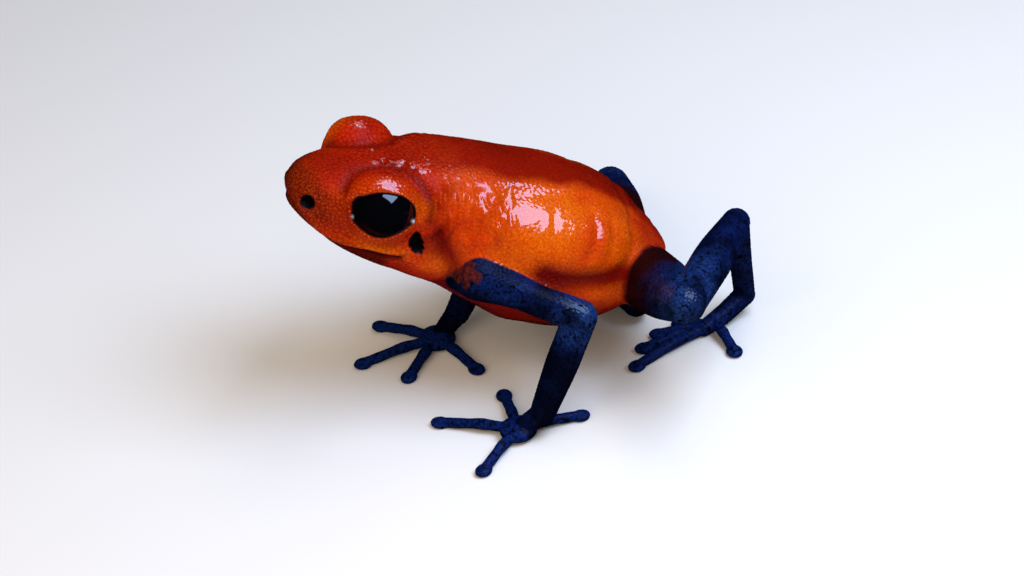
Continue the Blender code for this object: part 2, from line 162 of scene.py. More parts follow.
digits = {
    "fingerLengths": (2.6, 2.6, 3.4, 2.7),
    "toeLengths": (1.5, 2.3, 3.3, 4.4, 2.5),
    "toeRoots": (0.9, 1.0, 1.0, 1.0, 0.75),
    "footShare": 0.4,        # of the foot's length that the joined toes take
    "forkHeight": 0.36,      # where they part
    "instepDrop": 0.12,
    "fingerRoot": 0.7,       # length of each finger inside the palm
    "radius": 0.27,
    # share of the length, rise, and thickness in radii
    "knuckles": ((0, 0, 1.15), (0.28, 0.07, 0.98), (0.45, 0.12, 1.1), (0.62, 0.09, 0.95), (0.78, 0.04, 1.0),
                 (1, 0, 0.92)),
    "disc": (0.5, 0.42, 0.24),
    "palm": (0.95, 0.98, 0.48),
    "press": 0.06,           # how far the soles are pressed flat
}

skin = {
    "voxel": 0.058,
    "granule": 0.20,         # spacing on the trunk
    "granuleHeight": 0.018,
    "finest": 0.15,          # spacing on the snout and limbs
    "tries": 140000,         # places where a granule may go
}


# Noise from plain arithmetic, so that it's the same each run

def scatter(cells, seed):
    wave = np.sin(cells @ np.array((12.9898, 78.233, 37.719)) + seed * 17.13) * 43758.5453
    return wave - np.floor(wave)


# -1 to 1, smooth over about one size
def softNoise(points, size, seed=0):
    q = points / size
    base = np.floor(q)
    f = q - base
    f = f * f * (3 - 2 * f)
    total = np.zeros(len(points))
    for corner in np.ndindex(2, 2, 2):
        corner = np.array(corner)
        weight = np.prod(np.where(corner, f, 1 - f), axis=1)
        total += weight * scatter(base + corner, seed)
    return total * 2 - 1


def treeOf(places):
    tree = KDTree(len(places))
    for number, place in enumerate(places):
        tree.insert(place, number)
    tree.balance()
    return tree


# Share of the way from a granule's middle, at 0, to the groove round it, at 1
def granulesOver(places, spacing, seed):
    cell = float(spacing.max())
    nearCells = [(a, b, c) for a in (0, -1, 1) for b in (0, -1, 1) for c in (0, -1, 1)]
    kept = {}

    def crowded(x, y, z, home, gap):
        for a, b, c in nearCells:
            for p, q, r in kept.get((home[0] + a, home[1] + b, home[2] + c), ()):
                if (p - x) ** 2 + (q - y) ** 2 + (r - z) ** 2 < gap:
                    return True
        return False

    for number in np.random.default_rng(seed).permutation(len(places))[:skin["tries"]]:
        x, y, z = places[number]
        home = (int(x // cell), int(y // cell), int(z // cell))
        if not crowded(x, y, z, home, spacing[number] ** 2):
            kept.setdefault(home, []).append((x, y, z))
    tree = treeOf([seat for group in kept.values() for seat in group])
    far = np.array([[found[2] for found in tree.find_n(place, 2)] for place in places])
    return 2 * far[:, 0] / (far[:, 0] + far[:, 1])


def step(low, high, value):
    t = np.clip((value - low) / (high - low), 0, 1)
    return t * t * (3 - 2 * t)


def bell(value, width):
    return np.exp(-(value / width) ** 2)


# Body and part places

# Cubic through the values that never overshoots them
def smoothThrough(knots, values, at):
    gap = np.diff(knots)
    rise = np.diff(values) / gap
    slope = np.concatenate([rise[:1], np.zeros(len(rise) - 1), rise[-1:]])
    for i in range(1, len(rise)):
        if rise[i - 1] * rise[i] > 0:
            near, far = gap[i] * 2 + gap[i - 1], gap[i] + gap[i - 1] * 2
            slope[i] = (near + far) / (near / rise[i - 1] + far / rise[i])
    i = np.clip(np.searchsorted(knots, at, side="right") - 1, 0, len(gap) - 1)
    t = (at - knots[i]) / gap[i]
    return (values[i] * (1 + 2 * t) * (1 - t) ** 2 + values[i + 1] * t * t * (3 - 2 * t)
            + gap[i] * t * (1 - t) * (slope[i] * (1 - t) - slope[i + 1] * t))


# Half width, widest level, rise, drop and the two powers of the trunk at each station
def sectionAt(ahead):
    knots, width, side, crown, belly, crownPower, bellyPower = np.array(trunk["sections"])[::-1].T

    def roundEnded(values):
        return np.sqrt(np.maximum(smoothThrough(knots, values ** 2, ahead), 0.0))

    return (roundEnded(width), smoothThrough(knots, side, ahead), roundEnded(crown - side),
            roundEnded(side - belly), smoothThrough(knots, crownPower, ahead),
            smoothThrough(knots, bellyPower, ahead))


def sectionOf(ahead):
    return (float(value[0]) for value in sectionAt(np.array([ahead])))


pitch = math.radians(trunk["pitch"])
forwardAxis = np.array((0, -math.cos(pitch), math.sin(pitch)))
leftAxis = np.array((1.0, 0, 0))
upAxis = np.array((0, math.sin(pitch), math.cos(pitch)))
shift = np.zeros(3)          # from the body's own place to the part's frame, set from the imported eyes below


def headTurn(ahead):
    share = np.clip((ahead - trunk["neck"] + trunk["rollStart"]) / trunk["rollRun"], 0, 1)
    return math.radians(trunk["headRoll"]) * share * share * (3 - 2 * share)


def toPart(places):
    places = np.atleast_2d(np.asarray(places, float))
    ahead, left, up = places.T
    roll = headTurn(ahead)
    across = left * np.cos(roll) - up * np.sin(roll)
    height = left * np.sin(roll) + up * np.cos(roll)
    return (np.outer(ahead, forwardAxis) + np.outer(across, leftAxis) + np.outer(height, upAxis)
            + np.array((0, 0, trunk["ventHeight"])) + shift)


def toBody(points):
    rel = points - shift - np.array((0, 0, trunk["ventHeight"]))
    ahead, across, height = rel @ forwardAxis, rel @ leftAxis, rel @ upAxis
    roll = headTurn(ahead)
    return (ahead, across * np.cos(roll) + height * np.sin(roll),
            -across * np.sin(roll) + height * np.cos(roll))


def mirrored(place, side):
    return place if side == "left" else (place[0], -place[1], place[2])


low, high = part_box("eye_left")
shift = np.array((low + high) / 2) / mm - toPart(eye["place"])[0]


def placeOf(limb, name):
    return np.array(limb[name]) + shift


def turned(way, place):
    rise = toPart(np.add(way, place))[0] - toPart(place)[0]
    return rise / np.linalg.norm(rise)


# The eye's middle, and its ways towards the rear, up and outward
def eyeFrame(side):
    middle = mirrored(eye["place"], side)
    out = turned(mirrored(eye["gaze"], side), middle)
    up = turned((0, 0, 1), middle)
    up = up - out * (up @ out)
    up /= np.linalg.norm(up)
    rear = np.cross(up, out) * (1 if side == "left" else -1)
    return toPart(middle)[0], rear, up, out


# The place on the left flank at that height
def flankPoint(ahead, up):
    width, level, rise, drop, crownPower, bellyPower = sectionOf(ahead)
    reach, power = (rise, crownPower) if up >= level else (drop, bellyPower)
    share = min(abs(up - level) / reach, 1.0)
    return (ahead, width * (1 - share ** power) ** (1 / power), up)


# Plain closed forms that the skin is drawn over

flesh = bmesh.new()


def addRings(rings, startTip, endTip):
    verts = [[flesh.verts.new(p) for p in ring] for ring in rings]
    count = len(verts[0])
    for first, second in zip(verts, verts[1:]):
        for k in range(count):
            j = (k + 1) % count
            flesh.faces.new((first[k], first[j], second[j], second[k]))
    for ring, place in ((verts[0], startTip), (verts[-1][::-1], endTip)):
        tip = flesh.verts.new(place)
        for k in range(count):
            flesh.faces.new((ring[(k + 1) % count], ring[k], tip))


def addTrunk():
    spread = (np.arange(trunk["rings"]) + 0.5) / trunk["rings"]
    middle, half = (trunk["length"] + trunk["rump"]) / 2, (trunk["length"] - trunk["rump"]) / 2
    turn = np.linspace(0, 2 * math.pi, trunk["sides"], endpoint=False)
    c, s = np.cos(turn), np.sin(turn)
    rings = []
    for ahead in middle + half * np.cos(math.pi * spread):
        width, level, rise, drop, crownPower, bellyPower = sectionOf(ahead)
        power = np.where(s >= 0, crownPower, bellyPower)
        across = width * np.sign(c) * np.abs(c) ** (2 / power)
        up = level + np.where(s >= 0, rise, drop) * np.sign(s) * np.abs(s) ** (2 / power)
        rings.append(toPart(np.stack([np.full(len(c), ahead), across, up], 1)))
    ends = trunk["sections"][0], trunk["sections"][-1]
    tips = [toPart((end[0], 0.0, end[2]))[0] for end in ends]
    addRings(rings, tips[0], tips[1])


def addBall(centre, radii, axes=((1, 0, 0), (0, 1, 0), (0, 0, 1)), sides=40):
    axes = np.array(axes) * np.array(radii)[:, None]
    turn = np.linspace(0, 2 * math.pi, sides, endpoint=False)[:, None]
    circle = np.cos(turn) * axes[0] + np.sin(turn) * axes[1]
    rings = [centre + math.sin(t) * circle - math.cos(t) * axes[2]
             for t in np.linspace(0, math.pi, sides // 2 + 1)[1:-1]]
    addRings(rings, centre - axes[2], centre + axes[2])


def pathThrough(points, radii, steps):
    knots = np.arange(len(points), dtype=float)
    at = np.linspace(0, len(points) - 1, steps * (len(points) - 1) + 1)
    places = np.stack([smoothThrough(knots, axis, at) for axis in np.array(points, float).T], 1)
    return places, smoothThrough(knots, np.array(radii, float), at)


# A round form through the points, rounded past each end
def addTube(points, radii, steps=10, sides=28):
    places, sizes = pathThrough(points, radii, steps)
    bend = np.radians((15, 30, 45, 60, 75))
    heads = []
    for end, inner in ((0, 1), (-1, -2)):
        out = places[end] - places[inner]
        out /= np.linalg.norm(out)
        heads.append((np.array([places[end] + out * sizes[end] * math.sin(a) for a in bend]),
                      np.array([sizes[end] * math.cos(a) for a in bend]), places[end] + out * sizes[end]))
    line = np.concatenate([heads[0][0][::-1], places, heads[1][0]])
    width = np.concatenate([heads[0][1][::-1], sizes, heads[1][1]])
    along = np.gradient(line, axis=0)
    along /= np.linalg.norm(along, axis=1)[:, None]
    side = np.cross(along[0], (0.31, 0.2, 0.93))
    turn = np.linspace(0, 2 * math.pi, sides, endpoint=False)[:, None]
    rings = []
    for place, way, radius in zip(line, along, width):
        side = side - way * (side @ way)
        side /= np.linalg.norm(side)
        rings.append(place + radius * (np.cos(turn) * side + np.sin(turn) * np.cross(way, side)))
    addRings(rings, heads[0][2], heads[1][2])


# Along the mouth from corner to corner, lifted up the face and sunk into it, as part places
def mouthPath(lift, sink):
    half = []
    for number, (a, u) in enumerate(mouth["line"]):
        a, across, u = flankPoint(a, u + lift)
        share = number / len(mouth["line"])
        half.append((a - sink * share ** 3, across * (1 - sink / mouth["lipTaper"]), u))
    front = [(mouth["front"][0] + lift * mouth["frontLift"] - sink, 0.0, mouth["front"][1] + lift)]
    return toPart(half + front + [(a, -across, u) for a, across, u in half[::-1]])


lineSteps = 40               # between two points of a limb's line
digitRun = 100.0             # lengths along the digits start here, past those of every limb
limbLines = []               # (arm or leg, places, radii, length so far) for the colours and granules
bends = {}                   # length to each elbow and knee
upright = np.array((0, 0, 1.0))


# Joins lengths, each (points, radii), and keeps their line
def addLimb(kind, chain):
    places, sizes = [], []
    for points, radii in chain:
        addTube(points, radii)
        line, width = pathThrough(points, radii, lineSteps)
        places.append(line)
        sizes.append(width)
    places, sizes = np.concatenate(places), np.concatenate(sizes)
    run = np.concatenate([[0], np.cumsum(np.linalg.norm(np.diff(places, axis=0), axis=1))])
    bends[kind] = run[2 * lineSteps]         # where the first length's three points end
    limbLines.append((kind, places, sizes, run))


def between(start, end, share=0.5):
    return np.array(start) * (1 - share) + np.array(end) * share


def addDigit(kind, root, angle, length):
    way = np.array((math.sin(angle), -math.cos(angle), 0))
    level = digits["radius"] - digits["press"]
    start = np.array((root[0], root[1], max(level, root[2])))
    tip = np.array((root[0], root[1], level)) + way * length
    points = [between(start, tip, share) + upright * rise for share, rise, swell in digits["knuckles"]]
    radii = [digits["radius"] * swell for share, rise, swell in digits["knuckles"]]
    addTube(points, radii, steps=4, sides=16)
    disc = (tip[0], tip[1], digits["disc"][2] - digits["press"])
    addBall(disc, digits["disc"], (way, np.cross(upright, way), upright), 28)
    places, sizes = pathThrough(points, radii, 4)
    limbLines.append((kind, places, sizes, digitRun + np.linspace(0, length, len(places))))


def addArm(side):
    arm = limbs[side]
    sign = 1 if side == "left" else -1
    shoulder = toPart(mirrored(limbs["shoulder"], side))[0]
    elbow, wrist, palm = (placeOf(arm, name) for name in ("elbow", "wrist", "palm"))
    addLimb("arm", (
        ((shoulder, between(shoulder, elbow), elbow), limbs["arm"]),
        ((elbow, between(elbow, wrist, 0.4), wrist), limbs["forearm"]),
        ((wrist, palm), limbs["wrist"])))
    heading = -sign * math.radians(arm["heading"])
    way = np.array((math.sin(heading), -math.cos(heading), 0))
    addBall(palm, digits["palm"], (way, np.cross(upright, way), upright), 36)
    for turn, length in zip(arm["fingers"], digits["fingerLengths"]):
        addDigit("arm", palm, heading + sign * math.radians(turn), length + digits["fingerRoot"])


def addLeg(side):
    leg = limbs[side]
    sign = 1 if side == "left" else -1
    hip = toPart(mirrored(limbs["hip"], side))[0]
    knee, heel, ankle, toe = (placeOf(leg, name) for name in ("knee", "heel", "ankle", "toe"))
    fork = between(ankle, toe, digits["footShare"])
    fork[2] = digits["forkHeight"]
    instep = between(ankle, fork, 0.55) - upright * digits["instepDrop"]
    addLimb("leg", (
        ((hip, between(hip, knee), knee), limbs["thigh"]),
        ((knee, between(knee, heel), heel), limbs["shank"]),
        ((heel, between(heel, ankle), ankle), limbs["tarsus"]),
        ((ankle, instep, fork), limbs["foot"])))
    along = toe - fork
    heading = math.atan2(along[0], -along[1])
    for turn, length, root in zip(leg["toes"], digits["toeLengths"], digits["toeRoots"]):
        addDigit("leg", between(ankle, fork, root), heading + sign * math.radians(turn), length)


addTrunk()
lips = mouthPath(mouth["lipLift"], mouth["lipSink"])
addTube(lips, [mouth["lipRadius"]] * len(lips), steps=6, sides=16)
for side in ("left", "right"):
    for *middle, radius in eye["domes"]:
        addBall(toPart(mirrored(middle, side))[0], (radius,) * 3, sides=64)
    addArm(side)
    addLeg(side)
print("plain forms made")


# One skin over them all

def meshObject(name, mesh):
    made = bpy.data.objects.new(name, mesh)
    bpy.context.scene.collection.objects.link(made)
    return made


bmesh.ops.recalc_face_normals(flesh, faces=flesh.faces)
plain = bpy.data.meshes.new("plain")
flesh.to_mesh(plain)
flesh.free()
core = meshObject("core", plain)
remesh = core.modifiers.new("remesh", "REMESH")
remesh.mode = "VOXEL"
remesh.voxel_size = skin["voxel"]
bpy.context.view_layer.update()
skinMesh = bpy.data.meshes.new_from_object(core.evaluated_get(bpy.context.evaluated_depsgraph_get()))
bpy.data.objects.remove(core, do_unlink=True)
frog = meshObject("frogSkin", skinMesh)

points = np.empty(len(skinMesh.vertices) * 3)
skinMesh.vertices.foreach_get("co", points)
points = points.reshape(-1, 3)
edges = np.empty(len(skinMesh.edges) * 2, int)
skinMesh.edges.foreach_get("vertices", edges)
edges = edges.reshape(-1, 2)
links = np.bincount(edges.ravel(), minlength=len(points))
print("skin drawn over them:", len(points), "points")


# Moves each point towards the middle of its neighbours
def relax(places, weight, rounds):
    for _ in range(rounds):
        total = [np.bincount(edges[:, 0], axis[edges[:, 1]], len(places))
                 + np.bincount(edges[:, 1], axis[edges[:, 0]], len(places)) for axis in places.T]
        total = np.stack(total, 1)
        places = places + weight[:, None] * (total / links[:, None] - places)
    return places


# Takes the steps of the voxels away without thinning the toes
def evenOut(places, rounds):
    for _ in range(rounds):
        places = relax(places, np.full(len(places), 0.5), 1)
        places = relax(places, np.full(len(places), -0.52), 1)
    return places


def outwardWays(places):
    skinMesh.vertices.foreach_set("co", places.ravel())
    skinMesh.update()
    ways = np.empty(len(places) * 3, np.float32)
    skinMesh.vertex_normals.foreach_get("vector", ways)
    return ways.reshape(-1, 3).astype(float)


points = evenOut(points, 6)
ahead, left, up = toBody(points)


# How far each point lies over the trunk
def gapOverTrunk():
    within = np.clip(ahead, trunk["rump"] + 0.01, trunk["length"] - 0.01)
    width, level, rise, drop, crownPower, bellyPower = sectionAt(within)
    power = np.where(up >= level, crownPower, bellyPower)
    reach = np.maximum(np.where(up >= level, rise, drop), 0.05)
    spread = (np.abs(left) / np.maximum(width, 0.05)) ** power + (np.abs(up - level) / reach) ** power
    over = (spread ** (1 / power) - 1) * np.minimum(width, reach)
    beyondEnds = np.maximum(np.maximum(ahead - trunk["length"], trunk["rump"] - ahead), 0)
    return np.hypot(np.maximum(over, 0), beyondEnds) + np.minimum(over, 0)


# How far it lies over the nearest limb, the length along that limb, and whether it's a leg
def nearestLimb():
    spots, sizes, run = (np.concatenate([line[part] for line in limbLines]) for part in (1, 2, 3))
    leg = np.concatenate([np.full(len(line[1]), line[0] == "leg") for line in limbLines])
    tree = treeOf(spots)
    nearest = np.array([tree.find(place)[1] for place in points])
    return np.linalg.norm(points - spots[nearest], axis=1) - sizes[nearest], run[nearest], leg[nearest]


overTrunk = gapOverTrunk()
overLimb, limbRun, onLeg = nearestLimb()
onDigit = limbRun >= digitRun

# Soft fillets where limbs leave the trunk and where the lids leave the head, and a soft nose
joins = {
    "hip": (2.8, 4.6),       # lengths along the limb over which its fillet ends
    "shoulder": (0.9, 2.3),
    "hipWidth": 1.4,
    "shoulderWidth": 0.8,
    "lid": 2.4,              # from the eye's middle
    "lidWidth": 0.42,
    "nose": (20.7, 21.4),    # ahead
    "rounds": {"limb": 80, "lid": 45, "nose": 60, "lip": 6, "opening": 14},      # of smoothing
}
root = 1 - np.where(onLeg, step(*joins["hip"], limbRun), step(*joins["shoulder"], limbRun))
width = np.where(onLeg, joins["hipWidth"], joins["shoulderWidth"])
fillet = bell(np.abs(overTrunk) + np.abs(overLimb), width)
points = relax(points, 0.5 * np.clip(fillet * root * 1.6, 0, 1), joins["rounds"]["limb"])
for side in ("left", "right"):
    gap = np.linalg.norm(points - eyeFrame(side)[0], axis=1)
    points = relax(points, 0.5 * bell(gap - joins["lid"], joins["lidWidth"]), joins["rounds"]["lid"])
points = relax(points, 0.5 * step(*joins["nose"], ahead), joins["rounds"]["nose"])
lip = (ahead > 15.2) & (up < 0.2) & (overTrunk < 0.6)
points = relax(points, 0.5 * lip, joins["rounds"]["lip"])
print("joins softened")

# Lids
lids = {
    "reach": 2.7,            # from the eye's middle
    "thickness": 0.12,
    "rounding": 0.02,        # how softly a thin lid passes into the head
    "slope": 0.70,           # from the opening to the lid's full height
    "frontSlope": 0.34,
    "rim": 0.04,             # height of the opening's raised edge
}
farAway = 9.0


# The skin over each eye opens in an almond and drops behind the eyeball's front. Gives the new points
# and how far each lies outside the opening
def openLids(points):
    opening = np.full(len(points), farAway)
    for side in ("left", "right"):
        middle, rearWay, upWay, outWay = eyeFrame(side)
        rel = points - middle
        gap = np.linalg.norm(rel, axis=1)
        a, b, c = rel @ rearWay, rel @ upWay, rel @ outWay
        turn, reach = np.array(eye["opening"]).T
        almond = np.interp(np.degrees(np.arctan2(b, a)), turn, reach, period=360)
        local = (c > -0.1) & (gap < lids["reach"])
        edge = np.where(local, np.arccos(np.clip(c / gap, -1, 1)) * eye["margin"] - almond, farAway)
        opening = np.minimum(opening, edge)
        least = eye["margin"] + lids["thickness"] * step(0.0, 0.4, edge)
        outer = (gap + least + np.sqrt((gap - least) ** 2 + lids["rounding"])) / 2
        front = step(0.1, 0.8, -a / np.maximum(np.hypot(a, b), 0.05)) * step(-0.5, 0.0, b)
        slope = lids["slope"] + (lids["frontSlope"] - lids["slope"]) * front
        radius = eye["margin"] + (outer - eye["margin"]) * step(0.0, 1.0, edge / slope)
        inner = eye["socket"] + (eye["margin"] - eye["socket"]) * step(-0.22, 0.05, edge)
        radius = np.where(edge < 0.05, inner, radius) + lids["rim"] * bell(edge - 0.15, 0.1)
        share = np.where(local, 1 - step(1.0, 1.4, edge), 0)[:, None]
        points = points * (1 - share) + (middle + rel * (radius / gap)[:, None]) * share
    return points, opening


points, opening = openLids(points)
points = relax(points, 0.5 * bell(opening - 0.6, 0.25), joins["rounds"]["opening"])
ways = outwardWays(points)
ahead, left, up = toBody(points)
body = np.stack([ahead, np.abs(left), up], 1)
onTrunk = step(-0.5, 0.5, overLimb - overTrunk)
onLimb = 1 - onTrunk
print("lids opened")

# Relief of the face, flanks and back. Places are (ahead, left, up)
folds = {
    "lidCrease": {
        "path": ((19.67, 1.97, 0.93), (19.45, 1.36, 1.45), (18.68, 1.01, 1.8), (17.7, 0.95, 2.08),
                 (16.82, 1.34, 2.3), (16.19, 2.09, 2.22), (15.77, 2.61, 1.89), (15.41, 3.04, 1.35),
                 (15.41, 3.26, 0.79)),
        "depth": 0.07,
        "width": 0.24,
    },
    "neck": {
        "path": ((14.72, 3.47, 0.26), (14.02, 3.65, -0.71), (13.42, 3.71, -1.48), (12.9, 3.3, -2.6)),
        "depth": 0.18,
        "width": 0.26,
    },
    "flank": {
        "path": ((9.1, 4.6, -0.5), (8.23, 4.68, -0.61), (7.41, 4.64, -0.6), (6.02, 4.47, -0.32),
                 (5.18, 4.2, -0.08), (4.5, 3.9, 0.2)),
        "depth": 0.16,
        "width": 0.6,
    },
}
brow = {
    "path": ((18.1, 0.5, 2.0), (17.3, 0.7, 2.24), (16.6, 1.1, 2.42), (15.9, 1.6, 2.5)),
    "crumple": 0.10,
    "width": 0.42,
}
ridge = {
    "path": ((12.9, 1.7, 2.99), (11.15, 1.89, 2.94), (9.81, 1.76, 3.03), (8.51, 1.65, 3.1),
             (7.13, 1.27, 3.1), (6.28, 1.05, 3.03)),
    "height": 0.05,
    "width": 0.36,
    "shelf": 0.18,           # how far the flank drops below it
}
marks = {
    "nostril": {"place": (21.0, 1.5, -0.36), "size": (1.25, 1.0, 1.0), "depth": 0.30, "rim": 0.05},
    "drum": {"place": (15.02, 3.45, -0.42), "size": (1.0, 1.0, 1.1), "depth": 0.05, "rim": 0.05},
    "jaw": {"place": (14.7, 3.3, -1.55), "size": (1.3, 1.0, 0.7), "height": 0.16},
    "bulge": {"place": (6.4, 4.45, -1.35), "size": (1.5, 1.0, 0.6), "height": 0.22},
    "cheek": {"place": (17.9, 3.3, -0.95), "size": (1.8, 1.0, 0.6)},
    "shoulder": {"place": (12.1, 3.4, -1.9), "size": (1.35, 1.7, 1.45)},
    "rust": {"place": (13.05, 4.0, -1.35), "size": (1.0, 1.3, 0.75)},
}
wrinkles = {
    "height": 0.15,          # of the short upright ones behind the ear
    "finer": 0.05,
    "spacing": (0.24, 0.9, 0.8),
    "folds": ((8.9, 0.08), (7.0, 0.08), (5.9, 0.06), (4.4, 0.08)),     # ahead, and depth
    "foldWidth": 0.27,
}


# Distance of each point to a path on its own side, and how far below the path it lies
def alongPath(path, reach=1.2):
    path = np.array(path, float)
    knots = np.arange(len(path), dtype=float)
    at = np.linspace(0, len(path) - 1, 12 * (len(path) - 1) + 1)
    line = np.stack([smoothThrough(knots, axis, at) for axis in path.T], 1)
    gap, below = np.full(len(points), farAway), np.zeros(len(points))
    inside = np.all((body > line.min(0) - reach) & (body < line.max(0) + reach), axis=1)
    rel = body[inside][:, None, :] - line[None]
    far = np.linalg.norm(rel, axis=2)
    near = far.argmin(1)
    gap[inside] = far[np.arange(len(near)), near]
    below[inside] = -rel[np.arange(len(near)), near, 2]
    return gap, below


# Distance of each point to a mark on its own side, in sizes of the mark
def gapTo(name):
    return np.linalg.norm((body - np.array(marks[name]["place"])) / marks[name]["size"], axis=1)


# The same for the ear, whose reach changes round its outline
def gapToEar():
    rel = body - np.array(ear["place"])
    turn, reach = np.array(ear["outline"]).T
    reach = np.interp(np.degrees(np.arctan2(rel[:, 2], rel[:, 0])), turn, reach, period=360)
    return np.hypot(np.hypot(rel[:, 0], rel[:, 2]) / reach, rel[:, 1] / ear["thickness"])


# From 0 to 1 over the first two values, and back to 0 over the last two
def stretch(value, start, full, ease, end):
    return step(start, full, value) * (1 - step(ease, end, value))


mouthGap, mouthBelow = alongPath([flankPoint(*spot) for spot in mouth["line"]]
                                 + [(mouth["front"][0], 0.0, mouth["front"][1])])
foldGaps = {name: alongPath(fold["path"])[0] for name, fold in folds.items()}
browGap, _ = alongPath(brow["path"])
nostrilGap, drumGap, jawGap, bulgeGap = (gapTo(name) for name in ("nostril", "drum", "jaw", "bulge"))
earGap = gapToEar()
flank = stretch(up, -0.6, 0.6, 2.2, 2.85) * onTrunk


# Line of the mouth and the lips, softer round the nose
def mouthRelief():
    nose = step(20.2, 21.3, ahead)
    upperLip = (mouthBelow < 0) * step(15.5, 17.0, ahead) * (1 - 0.8 * nose)
    lowerLip = (mouthBelow > 0) * step(16.2, 17.0, ahead)
    height = -mouth["depth"] * bell(mouthGap, mouth["width"]) * (1 - 0.65 * nose)
    height += mouth["upperLip"] * bell(mouthGap - 0.42, 0.22) * upperLip
    height -= mouth["dip"] * bell(mouthGap - 0.95, 0.22) * upperLip * step(18, 19, ahead)
    return height + mouth["lowerLip"] * bell(mouthGap - 0.30, 0.13) * lowerLip


# Nostrils, ears, creases and swellings
def headRelief():
    height = marks["nostril"]["rim"] * bell(nostrilGap - 0.40, 0.12)
    height -= marks["nostril"]["depth"] * bell(nostrilGap, 0.22)
    height -= ear["depth"] * (1 - step(0.75, 1.12, earGap))
    height += marks["drum"]["rim"] * bell(drumGap - 0.62, 0.14)
    height -= marks["drum"]["depth"] * (1 - step(0.3, 0.6, drumGap))
    for name, fold in folds.items():
        height -= fold["depth"] * bell(foldGaps[name], fold["width"])
    height += marks["jaw"]["height"] * bell(jawGap, 0.8) + marks["bulge"]["height"] * bell(bulgeGap, 0.9)
    return height + brow["crumple"] * bell(browGap, brow["width"]) * softNoise(body, 0.3, 21)


# Upright wrinkles behind the ear, wide folds further back, and a slightly uneven surface
def flankRelief():
    wide, high = wrinkles["spacing"][1:]
    grain = np.stack([(ahead - 0.25 * up) / wrinkles["spacing"][0], body[:, 1] / wide, up / high], 1)
    creased = flank * stretch(ahead, 10.8, 12.0, 15.0, 15.8)
    creased *= 1 + 0.5 * bell(ahead - 14.4, 0.9) - 0.7 * step(2.1, 2.6, up) * step(13.0, 14.0, ahead)
    height = creased * (wrinkles["height"] * softNoise(grain, 1.0, 3)
                        + wrinkles["finer"] * softNoise(grain * 2.1, 1.0, 4))
    height += 0.025 * flank * (1 - step(10.5, 11.5, ahead)) * softNoise(body, 0.45, 5)
    bend = ahead + 0.35 * softNoise(body, 1.8, 15)
    for place, depth in wrinkles["folds"]:
        height -= depth * bell(bend - place, wrinkles["foldWidth"]) * step(0.0, 1.2, up) * flank
    return height + 0.05 * softNoise(points, 1.3, 8) * onTrunk * step(0.3, 0.8, opening)


# The line along each side of the back, with the flank a little lower
def backRelief():
    gap, below = alongPath(ridge["path"], 3.3)
    shelf = stretch(gap, 0.0, 0.9, 1.0, 3.2) * (below > 0)
    height = ridge["height"] * bell(gap, ridge["width"]) - ridge["shelf"] * shelf
    return height * stretch(ahead, 6.0, 7.5, 11.2, 12.9)


height = mouthRelief() + headRelief() + flankRelief() + backRelief()

# Wet beads at the corners of the eye, raised in the skin, each with a painted glint
cornerGlint = np.zeros(len(points))
for *beadAndGlint, bright in eye["beads"]:
    onSkin = body[np.linalg.norm(body - np.array(beadAndGlint), axis=1).argmin()]
    beadGap = np.linalg.norm(body - onSkin, axis=1)
    height += 0.07 * bright * bell(beadGap, 0.09)
    cornerGlint += bright * bell(beadGap, 0.08)

# Granules, finer on the snout, round the eye and on the limbs
fine = np.maximum(np.maximum(onLimb, step(18.0, 20.5, ahead)), 1 - step(0.5, 1.2, opening))
groove = granulesOver(points, skin["granule"] + (skin["finest"] - skin["granule"]) * fine, 11)
clear = (step(0.0, 0.14, opening) * step(0.08, 0.25, mouthGap) * step(0.2, 0.45, nostrilGap)
         * step(1.0, 1.3, earGap))
coarse = 1 + 0.9 * onLimb - 0.4 * flank + 0.6 * stretch(ahead, 14.5, 16.0, 19.5, 21) * step(0.8, 1.6, up)
coarse *= (0.8 + 0.45 * softNoise(points, 0.5, 12)) * np.where(onDigit, 0.5, 1) * clear
height += skin["granuleHeight"] * (0.5 - groove ** 2) * coarse
height *= step(0.0, 0.12, points[:, 2])      # the soles stay flat
points = points + ways * height[:, None]
points[:, 2] = np.maximum(points[:, 2], 0.0)
print("folds and granules raised")

# Masks for the colours, with edges that wander a little
backEdge = ((0.0, 0.6), (2.6, 1.0), (4.5, 1.1), (6.3, 1.15), (8.4, 1.5), (11.2, 1.85), (12.6, 1.7),
            (14.7, 1.5), (15.5, 1.3), (17.0, 1.0), (22.5, 0.7))        # ahead, and the dark back's reach
wobble = softNoise(points, 0.9, 40) * 0.25 + softNoise(points, 0.35, 41) * 0.12
nearer = overTrunk - overLimb                # above 0 where a limb is nearer than the trunk
onUpperLid = 0.25 + 0.75 * step(-0.5, 0.6, up - eye["place"][2])
lid = (1 - step(0.35, 1.3, opening + 0.5 * wobble)) * onUpperLid
lipBand = bell(mouthGap - 0.40, 0.30) * (mouthBelow < 0) * stretch(ahead, 14, 16, 20.3, 21.2)
